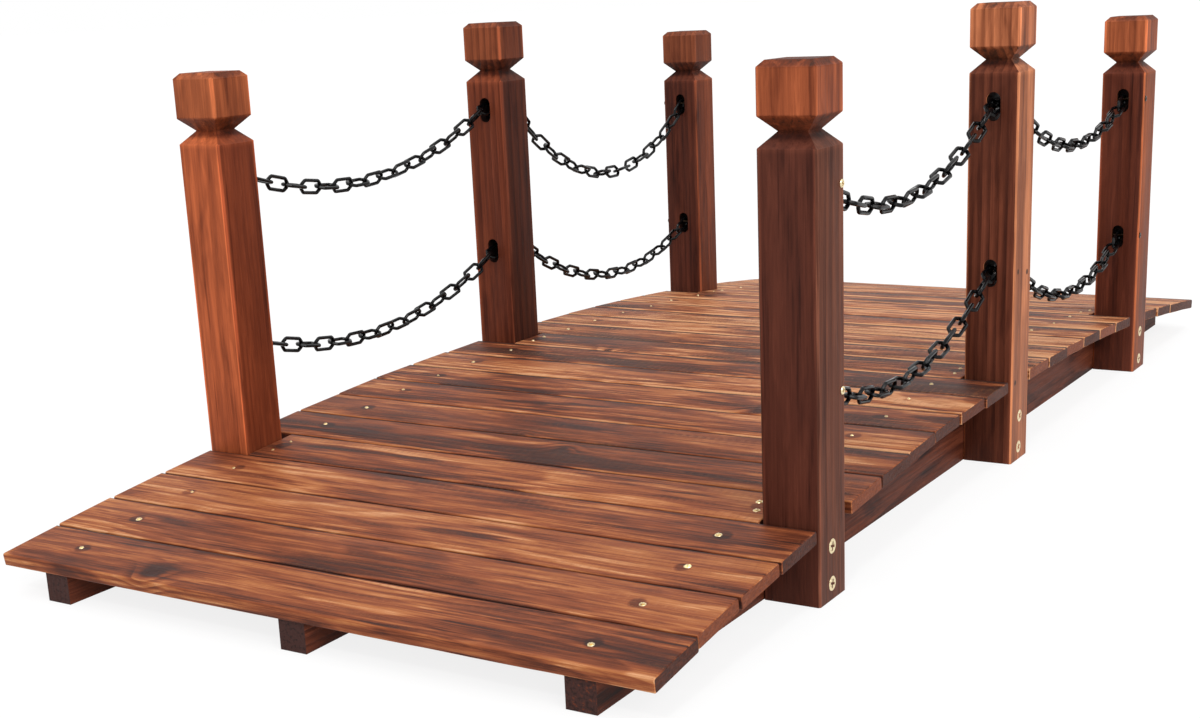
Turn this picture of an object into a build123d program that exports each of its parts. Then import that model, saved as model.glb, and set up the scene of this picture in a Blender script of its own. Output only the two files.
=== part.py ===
# Arched garden bridge: a plank deck on three arched stringers, with six square posts that are
# joined by two levels of hanging chain on each side.
# Frame: +X runs along the walkway from the near end to the far end, +Y to the left, +Z up.
# The origin is on the ground under the middle of the deck. All sizes are in millimetres.
from build123d import *
from math import atan, ceil, cos, radians, sin, sqrt
import os

# Deck boards: the ramps run from each end to the end posts, the bays from there to the mid posts
ramp_board_count = 4
bay_board_count = 6
board_width = 63.6
board_gap = 1.8
board_thickness = 11.5
board_end_setback = 2.0
board_edge_ease = 1.2

# Arch and stringers
arch_rise = 50.0
stringer_end_height = 25.5
stringer_thickness = 26.0
stringer_setback = 3.0

# Posts
post_width = 50.0
post_edge_ease = 1.6
end_post_height = 425.0
mid_post_height = 453.0
post_ramp_gap = 2.2
post_board_gap = 2.0
rail_half_width = 325.0
groove_below_top = 53.0
groove_height = 25.0
groove_depth = 12.5
head_chamfer = 5.5

# Slots that the chains run through, and the pins that hold the chain ends
slot_width = 14.0
slot_height = 27.5
upper_slot_below_top = 97.0
slot_spacing = 162.0
blind_slot_depth = 14.0
pin_diameter = 3.0
pin_head_diameter = 7.0
pin_head_height = 1.2
pin_length = 40.0
pin_hole_clearance = 0.15
pin_inset = 5.0
pin_rise = 2.0
pin_side_count = 12

# Chain links
link_pitch = 24.9
link_wire = 3.0
link_width = 16.2
link_corner = 4.8
link_clearance = 0.7
chain_least_sag = 25.0
slack_bay_least_sag = 60.0
chain_above_lip = 15.6
saddle_slopes = (14.0, 0.0, -14.0)
slack_saddle_slopes = (9.0, -6.0, -22.0)
slot_link_angle = 45.0
upper_left_shift = 3.0
lower_left_shift = 4.0
upper_right_shift = 0.0
lower_right_shift = 1.0

# Boards are numbered from 1 at the near end. A short one lies between each pair of posts.
near_post_board = ramp_board_count + 1
mid_post_board = near_post_board + bay_board_count + 1
far_post_board = mid_post_board + bay_board_count + 1
board_count = far_post_board + ramp_board_count

# The deck follows an arc: its radius comes from the rise over the length of the deck.
board_pitch = board_width + board_gap
deck_arc_length = board_count * board_pitch - board_gap
arch_radius = deck_arc_length**2 / (8 * arch_rise) - arch_rise / 6
deck_half_angle = deck_arc_length / (2 * arch_radius)
arch_crown = stringer_end_height + arch_radius * (1 - cos(deck_half_angle))
arch_centre_height = arch_crown - arch_radius
deck_end_x = arch_radius * sin(deck_half_angle)
post_centre_y = rail_half_width - post_width / 2
stringer_outer_y = rail_half_width - post_width
board_length = 2 * (rail_half_width - board_end_setback)
short_board_length = 2 * (stringer_outer_y - post_board_gap)


def board_angle(number):
    """Angle of a board's middle on the arc, from the crown, for boards 1 to board_count."""
    return (number - (board_count + 1) / 2) * board_pitch / arch_radius


def arch_height(x):
    """Height of the stringers' curved top above the ground."""
    return arch_centre_height + sqrt(arch_radius**2 - x**2)


def inward(board_number):
    """The way from a post towards the middle of the bridge, and 0 for a post that stands there."""
    return (board_number < mid_post_board) - (board_number > mid_post_board)


def post_centre_x(board_number):
    """A post stands in place of a board end, and an end post close to the board on its ramp side."""
    slot_middle = arch_radius * sin(board_angle(board_number))
    play = (board_width + 2 * board_gap - post_width) / 2
    return slot_middle - inward(board_number) * (play - post_ramp_gap)


# Stringers: flat on the ground, arched on top, side by side under the deck
def make_stringer(centre_y):
    half_length = deck_end_x - stringer_setback
    end_height = arch_height(half_length)
    with BuildPart() as stringer:
        with BuildSketch(Plane.XZ.offset(-centre_y)):
            with BuildLine():
                Line((-half_length, 0), (half_length, 0))
                Line((half_length, 0), (half_length, end_height))
                ThreePointArc((half_length, end_height), (0, arch_crown), (-half_length, end_height))
                Line((-half_length, end_height), (-half_length, 0))
            make_face()
        extrude(amount=stringer_thickness / 2, both=True)
    return stringer.part


outer_stringer_y = stringer_outer_y - stringer_thickness / 2
stringers = {
    "stringer_left": make_stringer(outer_stringer_y),
    "stringer_middle": make_stringer(0),
    "stringer_right": make_stringer(-outer_stringer_y),
}


# Deck boards: flat planks laid across the stringers, each square to the arch where it lies
def make_board(number):
    angle = board_angle(number)
    has_posts = number in (near_post_board, mid_post_board, far_post_board)
    length = short_board_length if has_posts else board_length
    out_of_arch = Vector(sin(angle), 0, cos(angle))
    seat = Plane(
        origin=Vector(0, 0, arch_centre_height) + out_of_arch * arch_radius,
        x_dir=(cos(angle), 0, -sin(angle)),
        z_dir=out_of_arch,
    )
    with BuildPart() as board:
        with BuildSketch(seat):
            Rectangle(board_width, length)
        extrude(amount=board_thickness)
        top_edges = board.faces().sort_by(Axis.Z)[-1].edges()
        chamfer(top_edges.filter_by(Axis.Y), length=board_edge_ease)
    return board.part


# Posts: square timber, a mitred V groove under the head and a chamfered top
def make_post(board_number, side, height, slot_faces):
    centre_x = post_centre_x(board_number)
    centre_y = side * post_centre_y
    groove_z = height - groove_below_top
    half = post_width / 2
    mouth = groove_height / 2
    with BuildPart() as post:
        with BuildSketch():
            with Locations((centre_x, centre_y)):
                Rectangle(post_width, post_width)
        extrude(amount=height)
        chamfer(post.faces().sort_by(Axis.Z)[-1].edges(), length=head_chamfer)
        for plane, across in ((Plane.XZ.offset(-centre_y), centre_x), (Plane.YZ.offset(centre_x), centre_y)):
            with BuildSketch(plane):
                for way in (-1, 1):
                    with BuildLine():
                        Polyline(
                            (across + way * half, groove_z - mouth),
                            (across + way * (half - groove_depth), groove_z),
                            (across + way * half, groove_z + mouth),
                            close=True,
                        )
                    make_face()
            extrude(amount=half, both=True, mode=Mode.SUBTRACT)
        chamfer(post.edges().filter_by(Axis.Z), length=post_edge_ease)
        for slot_z in slot_heights(height):
            for way, depth in slot_faces:
                with BuildSketch(Plane.YZ.offset(centre_x + way * half)):
                    with Locations((centre_y, slot_z)):
                        SlotOverall(slot_height, slot_width, rotation=90)
                extrude(amount=-way * depth, mode=Mode.SUBTRACT)
        if board_number != mid_post_board:
            with BuildSketch(Plane.XZ.offset(-side * rail_half_width)):
                with Locations(*pin_places(board_number)):
                    RegularPolygon(pin_diameter / 2 + pin_hole_clearance, pin_side_count)
            extrude(amount=side * (pin_length - pin_head_height), mode=Mode.SUBTRACT)
    return post.part


def slot_heights(post_height):
    upper = post_height - upper_slot_below_top
    return (upper, upper - slot_spacing)


def pin_places(board_number):
    """X and Z of the two chain pins of an end post."""
    way = inward(board_number)
    x = post_centre_x(board_number) + way * (post_width / 2 - pin_inset)
    return [(x, z + pin_rise) for z in slot_heights(end_post_height)]


# Chain pins: flat-headed brass screws driven in from the outer face, through the last link
def make_pins(board_number, side):
    head_plane = Plane.XZ.offset(-side * rail_half_width)
    with BuildPart() as pins:
        with BuildSketch(head_plane):
            with Locations(*pin_places(board_number)):
                RegularPolygon(pin_head_diameter / 2, pin_side_count)
        extrude(amount=-side * pin_head_height)
        with BuildSketch(head_plane):
            with Locations(*pin_places(board_number)):
                RegularPolygon(pin_diameter / 2, pin_side_count)
        extrude(amount=side * (pin_length - pin_head_height))
    return pins.part


# One chain link: an eight-sided loop of flat-sided wire, in its own XY plane
link_inner_length = link_pitch + link_clearance
with BuildPart() as link:
    with BuildSketch() as loop:
        Rectangle(link_inner_length + 2 * link_wire, link_width)
        chamfer(loop.vertices(), length=link_corner)
        offset(amount=-link_wire, kind=Kind.INTERSECTION, mode=Mode.SUBTRACT)
    extrude(amount=link_wire / 2, both=True)


def hanging_slopes(first, last, least_sag=chain_least_sag):
    """Slope angles of the links that hang from first to last: their tangents grow evenly."""
    run = last[0] - first[0]
    rise = last[1] - first[1]
    chord = sqrt(run**2 + rise**2)
    count = ceil((chord + 8 * least_sag**2 / (3 * chord)) / link_pitch)

    def slopes_for(step, level_link):
        return [atan(step * (index - level_link)) for index in range(count)]

    def level_link_for(step):
        low, high = -20.0 * count, 20.0 * count
        for _ in range(60):
            middle = (low + high) / 2
            if sum(sin(slope) for slope in slopes_for(step, middle)) * link_pitch > rise:
                low = middle
            else:
                high = middle
        return (low + high) / 2

    slack, taut = 2.0, 0.0005
    for _ in range(60):
        step = sqrt(slack * taut)
        if sum(cos(slope) for slope in slopes_for(step, level_link_for(step))) * link_pitch > run:
            taut = step
        else:
            slack = step
    return slopes_for(step, level_link_for(step))


# Chains: from the pin in the near post, over the lip of the mid post's slot, to the far pin
def make_chain(side, level, shift, over_saddle=saddle_slopes, far_least_sag=chain_least_sag):
    pin_seat = pin_diameter / 2 + link_clearance / 2
    near_x, near_z = pin_places(near_post_board)[level]
    far_x, far_z = pin_places(far_post_board)[level]
    near_joint = (near_x - pin_seat, near_z)
    far_joint = (far_x + pin_seat, far_z)
    lip = slot_heights(mid_post_height)[level] - slot_height / 2
    saddle_x = post_centre_x(mid_post_board) + shift

    climb, tilt, fall = (radians(slope) for slope in over_saddle)

    def saddle_end(way, slope):
        reach = way * link_pitch
        end_x = saddle_x + reach * (cos(tilt) / 2 + cos(slope))
        return (end_x, lip + chain_above_lip + reach * (sin(tilt) / 2 + sin(slope)))

    near_bay = hanging_slopes(near_joint, saddle_end(-1, climb))
    far_bay = hanging_slopes(saddle_end(1, fall), far_joint, far_least_sag)
    slopes = [*near_bay, climb, tilt, fall, *far_bay]
    upright = 90 * ((len(slopes) - 1) % 2)
    last_twist = upright + 180 * round((slot_link_angle - upright) / 180)

    places = []
    x, z = near_joint
    for index, slope in enumerate(slopes):
        along = Vector(cos(slope), 0, sin(slope))
        past_saddle = max(0, index - len(near_bay) - 2) / len(far_bay)
        twist = slot_link_angle * min(1, index / len(near_bay)) + (last_twist - slot_link_angle) * past_saddle
        turn = radians(twist + 90 * (index % 2))
        normal = Vector(0, 1, 0) * cos(turn) + along.cross(Vector(0, 1, 0)) * sin(turn)
        centre = Vector(x, side * post_centre_y, z) + along * (link_pitch / 2)
        places.append(Location(Plane(origin=centre, x_dir=along, z_dir=normal)))
        x += link_pitch * along.X
        z += link_pitch * along.Z
    with BuildPart() as chain:
        with Locations(*places):
            add(link.part)
    return chain.part


pieces = dict(stringers)
for number in range(1, board_count + 1):
    pieces[f"deck_board_{number:02d}"] = make_board(number)

for side_name, side in (("left", 1), ("right", -1)):
    for place_name, board_number, height in (
        ("near", near_post_board, end_post_height),
        ("mid", mid_post_board, mid_post_height),
        ("far", far_post_board, end_post_height),
    ):
        if place_name == "mid":
            faces = [(1, post_width)]
        else:
            faces = [(inward(board_number), blind_slot_depth)]
            pieces[f"chain_pins_{place_name}_{side_name}"] = make_pins(board_number, side)
        pieces[f"post_{place_name}_{side_name}"] = make_post(board_number, side, height, faces)

pieces["chain_upper_left"] = make_chain(1, 0, upper_left_shift, slack_saddle_slopes, slack_bay_least_sag)
pieces["chain_lower_left"] = make_chain(1, 1, lower_left_shift)
pieces["chain_upper_right"] = make_chain(-1, 0, upper_right_shift)
pieces["chain_lower_right"] = make_chain(-1, 1, lower_right_shift)

os.makedirs("parts", exist_ok=True)
for name, part in pieces.items():
    part.label = name
    export_step(part, f"parts/{name}.step")
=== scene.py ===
"""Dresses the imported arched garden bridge: browned softwood deck, posts and stringers, black chains and
brass-coloured screws, on a plain white studio floor. Laid out as a Blender add-on and run as a script."""
import math
import random

import bmesh
import bpy
import numpy as np
from mathutils import Euler, Matrix, Vector


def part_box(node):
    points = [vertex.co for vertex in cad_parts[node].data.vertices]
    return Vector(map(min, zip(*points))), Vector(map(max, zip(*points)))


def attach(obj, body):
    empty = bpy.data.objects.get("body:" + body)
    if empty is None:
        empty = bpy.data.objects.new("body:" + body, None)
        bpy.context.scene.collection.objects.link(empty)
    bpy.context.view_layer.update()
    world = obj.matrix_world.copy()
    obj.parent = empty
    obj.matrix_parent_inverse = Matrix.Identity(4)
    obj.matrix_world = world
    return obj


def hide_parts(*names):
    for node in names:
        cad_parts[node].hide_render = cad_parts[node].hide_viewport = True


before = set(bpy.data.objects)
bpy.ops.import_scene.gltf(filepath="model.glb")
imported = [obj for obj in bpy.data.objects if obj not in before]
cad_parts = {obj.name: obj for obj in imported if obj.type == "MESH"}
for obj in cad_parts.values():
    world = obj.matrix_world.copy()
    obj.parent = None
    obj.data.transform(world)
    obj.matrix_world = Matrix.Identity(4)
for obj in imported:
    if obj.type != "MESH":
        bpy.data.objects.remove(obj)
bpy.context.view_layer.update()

bl_info = {
    "name": "Arched garden bridge",
    "version": (1, 0, 0),
    "blender": (4, 5, 0),
    "location": "View3D > Sidebar > Bridge",
    "description": "Builds the visible pieces of a small arched garden bridge round its packed frame",
    "category": "Add Mesh",
}

MM = 0.001
WELD = 1e-6
# How far from the middle of the deck the screws of the boards stand
SCREW_LINE = 0.257

# The camera: its place in metres, its yaw, pitch and roll in degrees, the width of its sensor, and its
# focal length and shifts in pixels of a picture of this width
CAMERA_PLACE = (-1.66189, -0.85844, 0.47561)
CAMERA_ANGLES = (32.838, -15.496, -2.717)
SENSOR_WIDTH = 36.0
IMAGE_WIDTH = 1200
FOCAL_PIXELS = 1707.82
SHIFT_PIXELS = (23.27, 112.82)


# Colours


def tone(red, green, blue):
    """A colour named by its screen values from 0 to 255, as the linear colour that shaders use."""
    return tuple(
        part / 3294.6 if part <= 10 else ((part / 255 + 0.055) / 1.055) ** 2.4 for part in (red, green, blue)
    )


# Settings


def colour_setting(name, description, default):
    return bpy.props.FloatVectorProperty(
        name=name, description=description, default=default, size=3, subtype="COLOR", min=0, max=1
    )


def length_setting(name, description, default):
    return bpy.props.FloatProperty(name=name, description=description, default=default, unit="LENGTH")


class DeckSettings(bpy.types.PropertyGroup):
    """Sizes and colours of the deck boards."""

    edge_round: length_setting("Edge Round", "Radius of the long edges of a board", 1.6 * MM)
    end_ease: length_setting("End Ease", "How far the ends of a board are eased", 0.6 * MM)
    edge_wear: length_setting("Edge Wear", "How far the long edges wander", 0.55 * MM)
    end_stagger: length_setting("End Stagger", "How far a board may lie out of line", 1.6 * MM)
    pale: colour_setting("Pale Wood", "Edges and fibres that the brush laid bare", tone(204, 148, 106))
    light: colour_setting("Light Wood", "Early wood where the stain is thin", tone(172, 106, 62))
    middle: colour_setting("Middle Wood", "The usual tone of the boards", tone(134, 70, 41))
    dark: colour_setting("Late Wood", "Dark lines of the growth rings", tone(90, 43, 25))
    charred: colour_setting("Charred Wood", "Patches that the flame left darker", tone(50, 27, 22))


class PostSettings(bpy.types.PropertyGroup):
    """Sizes and colours of the posts and stringers."""

    edge_round: length_setting("Edge Round", "How far the arrises are softened", 0.9 * MM)
    # This tone also serves as painted shade inside the slots, besides the end grain
    charred: colour_setting("Charred Wood", "The inside of the slots and the end grain", tone(26, 16, 15))
    stringer: colour_setting("Stringer", "Middle tone of the stringers", tone(96, 47, 30))
    stringer_end: colour_setting("Stringer End", "End grain of the stringers", tone(62, 38, 34))


class ChainSettings(bpy.types.PropertyGroup):
    """Sizes and colour of the chain links."""

    wire: length_setting("Wire", "Thickness of the wire", 3.7 * MM)
    corner: length_setting("Corner", "How far the corners of a link are cut off", 5.4 * MM)
    play: length_setting("Play", "Room between two links where they bear", 0.2 * MM)
    colour: colour_setting("Colour", "Black paint of the links", tone(6, 6, 7))


class ScrewSettings(bpy.types.PropertyGroup):
    """Sizes and colour of the screws."""

    deck_head: length_setting("Deck Head", "Head diameter of the screws in the boards", 7.0 * MM)
    post_head: length_setting("Post Head", "Head diameter of the screws in the posts", 13.6 * MM)
    pin_head: length_setting("Pin Head", "Head diameter of the screws that hold the chains", 7.0 * MM)
    colour: colour_setting("Colour", "Yellow plating", tone(240, 222, 178))


class StageSettings(bpy.types.PropertyGroup):
    """Light and floor of the studio."""

    sky: bpy.props.FloatProperty(name="Sky", description="Even light from all round", default=0.62)
    key: bpy.props.FloatProperty(name="Key", description="Soft lamp from the right", default=1.5)
    top: bpy.props.FloatProperty(name="Top", description="Soft lamp from above", default=0.9)
    glint: bpy.props.FloatProperty(name="Glint", description="Small lamp for glints", default=0.6)
    floor: colour_setting("Floor", "Colour of the floor", (0.82, 0.82, 0.82))


# Node trees


class Wire:
    """A socket of a node tree. Sums and products of wires and numbers add Math nodes to the tree."""

    def __init__(self, tree, socket):
        self.tree = tree
        self.socket = socket

    def math(self, operation, *others):
        values = dict(enumerate((self, *others)))
        return self.tree.wire("ShaderNodeMath", {"operation": operation}, values)

    def __add__(self, other):
        return self.math("ADD", other)

    def __radd__(self, other):
        return self.math("ADD", other)

    def __sub__(self, other):
        return self.math("SUBTRACT", other)

    def __rsub__(self, other):
        return (self * -1).math("ADD", other)

    def __mul__(self, other):
        return self.math("MULTIPLY", other)

    def __rmul__(self, other):
        return self.math("MULTIPLY", other)

    def __truediv__(self, other):
        return self.math("DIVIDE", other)

    def __abs__(self):
        return self.math("ABSOLUTE")

    def step(self, low, high):
        """Rises softly from 0 at low to 1 at high, or falls where low is the larger."""
        turned = low > high
        ends = {0: self, 1: min(low, high), 2: max(low, high), 3: float(turned), 4: float(not turned)}
        return self.tree.wire("ShaderNodeMapRange", {"interpolation_type": "SMOOTHSTEP"}, ends)


class Tree:
    """Adds nodes to a shader or geometry tree."""

    def __init__(self, nodes):
        self.nodes = nodes

    def node(self, kind, settings=None, sockets=None):
        made = self.nodes.nodes.new(kind)
        for key, value in (settings or {}).items():
            if key == "stops":
                ramp = made.color_ramp
                while len(ramp.elements) < len(value):
                    ramp.elements.new(0.5)
                for element, (place, colour) in zip(ramp.elements, value):
                    element.position = place
                    element.color = (*colour, 1)
            else:
                setattr(made, key, value)
        for key, value in (sockets or {}).items():
            self.plug(value, made.inputs[key])
        return made

    def plug(self, value, socket):
        if isinstance(value, (list, tuple)) and value and isinstance(value[0], Wire):
            for one in reversed(value):
                self.nodes.links.new(one.socket, socket)
        elif isinstance(value, Wire):
            self.nodes.links.new(value.socket, socket)
        elif socket.type == "RGBA" and len(value) == 3:
            socket.default_value = (*value, 1)
        else:
            socket.default_value = value

    def wire(self, kind, settings=None, sockets=None, output=0):
        return Wire(self, self.node(kind, settings, sockets).outputs[output])

    def vector(self, x, y, z):
        return self.wire("ShaderNodeCombineXYZ", None, {0: x, 1: y, 2: z})

    def split(self, vector):
        made = self.node("ShaderNodeSeparateXYZ", None, {0: vector})
        return [Wire(self, socket) for socket in made.outputs]

    def shift(self, vector, other):
        return self.wire("ShaderNodeVectorMath", {"operation": "ADD"}, {0: vector, 1: other})

    def stretch(self, vector, factors):
        return self.wire("ShaderNodeVectorMath", {"operation": "MULTIPLY"}, {0: vector, 1: factors})

    def noise(self, vector, detail=2.0, roughness=0.5, distortion=0.0, output=0):
        values = {"Vector": vector, "Scale": 1.0, "Detail": detail, "Roughness": roughness}
        values["Distortion"] = distortion
        return self.wire("ShaderNodeTexNoise", {"noise_dimensions": "3D"}, values, output)

    def blend(self, factor, first, second, kind="MIX"):
        settings = {"data_type": "RGBA", "blend_type": kind}
        return self.wire("ShaderNodeMix", settings, {0: factor, 6: first, 7: second}, 2)


def new_material(name):
    """An empty material and its tree."""
    material = bpy.data.materials.new(name)
    material.use_nodes = True
    material.node_tree.nodes.clear()
    return material, Tree(material.node_tree)


def distance(first, second):
    """How far a place is from where both of these are 0."""
    return (first * first + second * second).math("SQRT")


def finish_material(tree, shader):
    tree.node("ShaderNodeOutputMaterial", None, {"Surface": Wire(tree, shader.outputs[0])})


# Wood


# Tones of a face from charred to pale, as shares of the palest, which is PALEST times the face's own
# middle tone
FACE_TONES = (
    (0.0, (0.06, 0.07, 0.09)),
    (0.25, (0.18, 0.155, 0.15)),
    (0.5, (0.38, 0.38, 0.38)),
    (0.75, (0.62, 0.66, 0.66)),
    (1.0, (1.0, 1.0, 1.0)),
)
PALEST = 2.6

# The noises that wood is made of: where each starts, its waves in a metre across, along and down into
# the grain, and its detail, roughness and distortion
WOOD_NOISES = {
    "drift": ((0, 0, 0), (7, 2.0, 7), 1.0, 0.5, 0.0),
    "waver": ((0, 0, 0), (26, 5.5, 26), 2.0, 0.5, 0.0),
    "fibre": ((0, 0, 0), (430, 9, 430), 4.0, 0.7, 0.0),
    "streak": ((0, 0, 0), (170, 4.2, 170), 3.0, 0.65, 0.0),
    "patch": ((0, 0, 0), (22, 4.5, 22), 4.0, 0.6, 0.3),
    "flame": ((3.1, 1.7, 5.3), (38, 6.5, 38), 3.0, 0.55, 0.6),
    "spindle": ((7.7, 4.1, 2.9), (85, 5.5, 85), 2.0, 0.5, 0.0),
    "bright": ((5.2, 8.8, 1.4), (110, 10, 110), 3.0, 0.6, 0.0),
    "band": ((9.4, 2.2, 6.6), (16, 1.3, 16), 2.0, 0.5, 0.0),
    "fleck": ((2.6, 6.3, 9.1), (300, 20, 300), 3.0, 0.6, 0.0),
    "crack": ((8.3, 3.9, 4.4), (230, 5, 230), 1.0, 0.5, 0.0),
}
# Of some noises: between which values they begin and are in full force
NOISE_STEPS = {
    "flame": (0.55, 0.68),
    "spindle": (0.62, 0.68),
    "bright": (0.55, 0.66),
    "band": (0.5, 0.66),
    "crack": (0.67, 0.7),
}
BASE_SHADE = 0.52
BASE_ROUGHNESS = 0.58
DECK_SHINE = 0.16
POST_SHINE = 0.12


def knot_masks(tree, place, grain):
    """How much a place lies in the swell round a knot, in the knot itself and in its dark rim."""
    cell = grain["knot_cell"]
    size = grain["knot_size"]
    spots = {"Vector": tree.stretch(place, (1, 1, 0)), "Scale": 1 / cell, "Randomness": 1.0}
    cells = tree.node("ShaderNodeTexVoronoi", {"voronoi_dimensions": "2D"}, spots)
    way = Wire(tree, cells.outputs["Distance"]) * cell
    there = tree.split(Wire(tree, cells.outputs["Color"]))[0]
    there = there.step(grain["knot_share"], grain["knot_share"] - 0.02)
    bulge = ((way * way) * (-1 / grain["knot_reach"] ** 2)).math("EXPONENT") * there
    return bulge, way.step(size, size * 0.45) * there, way.step(size * 2.2, size) * there


def wood_shade(tree, across, along, deep, offset, grain):
    """Browned softwood. across, along and deep are metres in the piece's own frame, along the grain and
    down into it. grain says how the tree grew, such as where its heart lies and how wide its rings are,
    and how strong each mark is. Gives the shade, from 0 for charred to 1 for pale, its height and
    roughness, and the noises that the pieces use again."""
    place = tree.shift(tree.vector(across, along, deep), offset)
    noises = {
        name: tree.noise(tree.stretch(tree.shift(place, start), waves), *look)
        for name, (start, waves, *look) in WOOD_NOISES.items()
    }
    marks = {name: noises[name].step(*ends) for name, ends in NOISE_STEPS.items()}
    fibre, streak, patch, fleck = (noises[name] for name in ("fibre", "streak", "patch", "fleck"))
    bulge, knot_core, knot_rim = knot_masks(tree, place, grain)

    waver = (noises["waver"] - 0.5) * grain["waver"]
    heart_side = across - grain["heart_side"] + waver
    heart_way = deep + grain["heart_depth"] + (noises["drift"] - 0.5) * grain["swing"]
    radius = distance(heart_side, heart_way) + bulge * grain["knot_reach"] * 0.55 + waver * 0.35
    phase = (radius / grain["ring_width"]).math("FRACT")
    late_wood = phase.step(0.2, 0.85) * phase.step(1.0, 0.9)
    late_wood = late_wood * (patch.step(0.38, 0.6) * 0.75 + 0.25 + bulge)

    shade = BASE_SHADE + (patch - 0.5) * grain["patch"] + (streak - 0.5) * grain["streak"]
    shade = shade + (fibre - 0.5) * grain["fibre"] - late_wood * grain["ring_contrast"]
    shade = shade + marks["bright"] * grain["bright"] - marks["band"] * grain["band"]
    shade = shade - marks["flame"] * grain["char"] - marks["spindle"] * grain["spindle"]
    shade = shade + (fleck.step(0.57, 0.63) - fleck.step(0.43, 0.37)) * grain["fleck"]
    shade = shade - marks["crack"] * grain["fleck"] * 2.5 - knot_core * 0.5 - knot_rim * 0.14
    return {
        "shade": shade,
        "streak": streak,
        "fibre": fibre,
        "patch": patch,
        "height": fibre * 0.5 + streak * 0.5 + fleck * 0.6 - late_wood * 0.3 - knot_core * 0.4,
        "roughness": BASE_ROUGHNESS + (fibre - 0.5) * 0.3 + (patch - 0.5) * 0.3,
    }


def wood_shader(tree, look, bump_depth, shine):
    bump = {"Strength": 1.0, "Distance": bump_depth, "Height": look["height"]}
    values = {
        "Base Color": look["colour"],
        "Roughness": look["roughness"],
        "Specular IOR Level": shine,
        "Normal": tree.wire("ShaderNodeBump", None, bump),
    }
    finish_material(tree, tree.node("ShaderNodeBsdfPrincipled", None, values))


DECK_GRAIN = {
    "swing": 0.07,
    "waver": 0.009,
    "ring_width": 0.0068,
    "ring_contrast": 0.22,
    "patch": 1.75,
    "band": 0.28,
    "streak": 0.36,
    "fibre": 1.0,
    "spindle": 0.26,
    "knot_cell": 0.2,
    "knot_share": 0.6,
    "knot_reach": 0.022,
    "knot_size": 0.0065,
}
# Between which boards the deck turns from its near look to its far one
FAR_BOARDS = (4.0, 16.0)
# How far from a board's middle its near edge, partly worn and partly a painted highlight, its far edge,
# darkened by painted shade, and its gap, darkened by painted shade, begin and are full
NEAR_EDGE_WEAR_AND_HIGHLIGHT = (28.8 * MM, 30.4 * MM)
FAR_EDGE_SHADE = (28.6 * MM, 30.0 * MM)
GAP_SHADE = (31.2 * MM, 31.7 * MM)
# The shade that keeps its tone where the contrast of the deck is raised
MIDDLE_SHADE = 0.48
# How far round a screw the wood is torn
TORN_WOOD = (8.5 * MM, 5 * MM)


def deck_wood(settings):
    """Material of all the boards. It reads each board's own frame and number from the mesh."""
    material, tree = new_material("deck_wood")
    place = tree.wire("ShaderNodeAttribute", {"attribute_name": "grain_place"}, None, 1)
    across, along, deep = tree.split(place)
    number = tree.wire("ShaderNodeAttribute", {"attribute_name": "board_number"}, None, 2)
    chance = tree.wire("ShaderNodeTexWhiteNoise", {"noise_dimensions": "1D"}, {"W": number}, 1)
    chances = tree.split(chance)
    offset = tree.stretch(chance, (37, 53, 29))
    far = number.step(*FAR_BOARDS)
    grain = {
        **DECK_GRAIN,
        "heart_side": (chances[0] - 0.5) * 0.09,
        "heart_depth": 0.022 + chances[1] * 0.05,
        "char": 0.16 + far * 0.12,
        "bright": 0.14 + far * 0.3,
        "fleck": 0.08 + far * 0.12,
    }
    look = wood_shade(tree, across, along, deep, offset, grain)
    shade = look["shade"] + (chances[2] - 0.5) * 0.24 + 0.05 + far * 0.08

    ragged = (look["streak"] - 0.5) * 6 * MM
    # The near edge is lighter, partly wear and partly a painted highlight; the far edge is darker with
    # painted shade
    near_edge_wear_and_highlight = (across * -1 + ragged + far * 2.5 * MM).step(*NEAR_EDGE_WEAR_AND_HIGHLIGHT) * look["patch"].step(0.36, 0.5)
    far_edge_shade = (across + ragged + far * 5 * MM).step(*FAR_EDGE_SHADE)
    shade = shade + near_edge_wear_and_highlight * (0.2 + far * 0.2) - far_edge_shade * (0.5 + far * 0.1)
    first_board = number.step(1.6, 1.4) * across.step(0.0, -1 * MM)
    last_board = number.step(22.4, 22.6) * across.step(0.0, 1 * MM)
    # Painted shade on the faces in the gaps between boards, less on the outer faces of the first and last
    # board
    shade = shade - abs(across).step(*GAP_SHADE) * (0.42 - (first_board + last_board) * 0.2)
    shade = (shade - MIDDLE_SHADE) * (1.08 + far * 0.36) + MIDDLE_SHADE

    torn = distance(abs(along) - SCREW_LINE, across) + (look["patch"] - 0.5) * 12 * MM
    shade = shade - torn.step(*TORN_WOOD) * 0.3

    normal = tree.wire("ShaderNodeNewGeometry", None, None, 1)
    end_face = abs(tree.split(normal)[1]).step(0.7, 0.9)
    end_rings = tree.noise(tree.stretch(tree.shift(place, offset), (240, 50, 700)), 3.0)
    end_shade = 0.1 + chances[0].step(0.6, 0.8) * 0.3 + (end_rings - 0.5) * 0.5
    shade = shade + end_face * (end_shade - shade)

    tones = (settings.charred, settings.dark, settings.middle, settings.light, settings.pale)
    stops = [(index / 4, colour[:]) for index, colour in enumerate(tones)]
    look["colour"] = tree.wire("ShaderNodeValToRGB", {"stops": stops}, {0: shade})
    wood_shader(tree, look, 0.6 * MM, DECK_SHINE)
    return material


def face_colour(tree, shade, colour):
    """A shade as a colour round the face's own middle tone."""
    tones = tree.wire("ShaderNodeValToRGB", {"stops": FACE_TONES}, {0: shade})
    return tree.blend(1.0, tones, colour, "MULTIPLY")


# Half the width of a post, how far under its top its groove lies and its slots begin, and between which
# places a slot ends along the walkway and across it
POST_HALF = 25 * MM
GROOVE_DROP = 53 * MM
SLOT_DROP = (80 * MM, 82 * MM)
SLOT_SIDE = (24.6 * MM, 22.5 * MM)
SLOT_OUT = (9 * MM, 8 * MM)
# Where the painted shade of a small dent in a post begins and is full
DENT_SHADE = (3.2 * MM, 1.8 * MM)


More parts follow.
